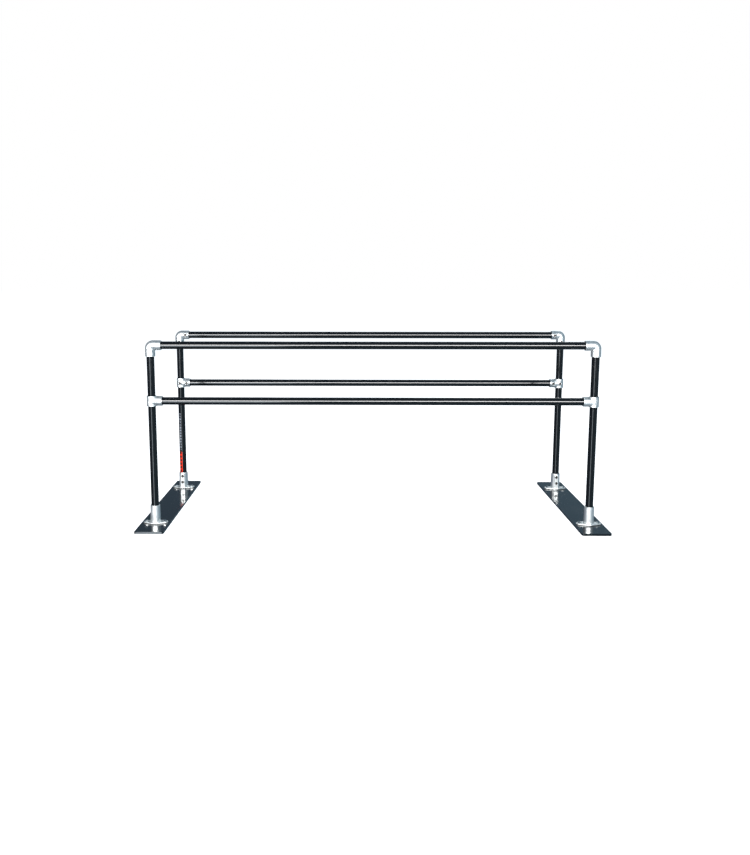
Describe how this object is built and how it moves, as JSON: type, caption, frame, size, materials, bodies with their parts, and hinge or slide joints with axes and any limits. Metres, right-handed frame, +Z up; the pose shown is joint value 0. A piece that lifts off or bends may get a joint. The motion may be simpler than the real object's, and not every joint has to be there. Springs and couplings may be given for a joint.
{
  "type": "parallel bars",
  "caption": "Free-standing parallel bars of coated steel pipe, joined by cast set-screw fittings and standing on flat base plates. The lower rails slide up and down the posts.",
  "frame": {"origin": "on the floor, at the centre of the frame between the four posts", "axes": "+X along the rails, +Y from the front side to the rear side, +Z up"},
  "size_m": [2.6, 1.067, 1.046],
  "materials": {
    "pipe_black": "glossy black powder coat",
    "plate_black": "glossy black coat",
    "galvanised": "bright galvanised casting",
    "zinc_steel": "zinc plated",
    "dark_steel": "oiled hardened steel",
    "label": "printed vinyl"
  },
  "bodies": {
    "frame": {"base_flange_front_left": "galvanised", "base_flange_front_right": "galvanised", "base_flange_rear_left": "galvanised", "base_flange_rear_right": "galvanised", "base_plate_left": "plate_black", "base_plate_right": "plate_black", "elbow_front_left": "galvanised", "elbow_front_right": "galvanised", "elbow_post_screw_front_left": "dark_steel", "elbow_post_screw_front_right": "dark_steel", "elbow_post_screw_rear_left": "dark_steel", "elbow_post_screw_rear_right": "dark_steel", "elbow_rail_screw_front_left": "dark_steel", "elbow_rail_screw_front_right": "dark_steel", "elbow_rail_screw_rear_left": "dark_steel", "elbow_rail_screw_rear_right": "dark_steel", "elbow_rear_left": "galvanised", "elbow_rear_right": "galvanised", "flange_bolt_inner_front_left": "zinc_steel", "flange_bolt_inner_front_right": "zinc_steel", "flange_bolt_inner_rear_left": "zinc_steel", "flange_bolt_inner_rear_right": "zinc_steel", "flange_bolt_outer_front_left": "zinc_steel", "flange_bolt_outer_front_right": "zinc_steel", "flange_bolt_outer_rear_left": "zinc_steel", "flange_bolt_outer_rear_right": "zinc_steel", "flange_lower_screw_front_left": "dark_steel", "flange_lower_screw_front_right": "dark_steel", "flange_lower_screw_rear_left": "dark_steel", "flange_lower_screw_rear_right": "dark_steel", "flange_upper_screw_front_left": "dark_steel", "flange_upper_screw_front_right": "dark_steel", "flange_upper_screw_rear_left": "dark_steel", "flange_upper_screw_rear_right": "dark_steel", "post_front_left": "pipe_black", "post_front_right": "pipe_black", "post_label": "label", "post_rear_left": "pipe_black", "post_rear_right": "pipe_black", "upper_rail_front": "pipe_black", "upper_rail_rear": "pipe_black"},
    "lower_bar_front": {"lower_rail_front": "pipe_black", "tee_front_left": "galvanised", "tee_front_right": "galvanised", "tee_rail_screw_front_left": "dark_steel", "tee_rail_screw_front_right": "dark_steel"},
    "lower_bar_rear": {"lower_rail_rear": "pipe_black", "tee_rail_screw_rear_left": "dark_steel", "tee_rail_screw_rear_right": "dark_steel", "tee_rear_left": "galvanised", "tee_rear_right": "galvanised"},
    "tee_lock_front_left": {"tee_post_screw_front_left": "dark_steel"},
    "tee_lock_front_right": {"tee_post_screw_front_right": "dark_steel"},
    "tee_lock_rear_left": {"tee_post_screw_rear_left": "dark_steel"},
    "tee_lock_rear_right": {"tee_post_screw_rear_right": "dark_steel"}
  },
  "joints": [
    {"name": "lower_bar_front_slide", "type": "slide", "parent": "frame", "child": "lower_bar_front", "axis": [0, 0, 1], "range_m": [-0.5625, 0.2175]},
    {"name": "lower_bar_rear_slide", "type": "slide", "parent": "frame", "child": "lower_bar_rear", "axis": [0, 0, 1], "range_m": [-0.5625, 0.2175]},
    {"name": "tee_lock_front_left_turn", "type": "hinge", "parent": "lower_bar_front", "child": "tee_lock_front_left", "pos_m": [-1.219, -0.3436, 0.71], "axis": [0, 1, 0], "range_deg": [-135, 405]},
    {"name": "tee_lock_front_right_turn", "type": "hinge", "parent": "lower_bar_front", "child": "tee_lock_front_right", "pos_m": [1.219, -0.3436, 0.71], "axis": [0, 1, 0], "range_deg": [-135, 405]},
    {"name": "tee_lock_rear_left_turn", "type": "hinge", "parent": "lower_bar_rear", "child": "tee_lock_rear_left", "pos_m": [-1.219, 0.3436, 0.71], "axis": [0, -1, 0], "range_deg": [-135, 405]},
    {"name": "tee_lock_rear_right_turn", "type": "hinge", "parent": "lower_bar_rear", "child": "tee_lock_rear_right", "pos_m": [1.219, 0.3436, 0.71], "axis": [0, -1, 0], "range_deg": [-135, 405]}
  ]
}
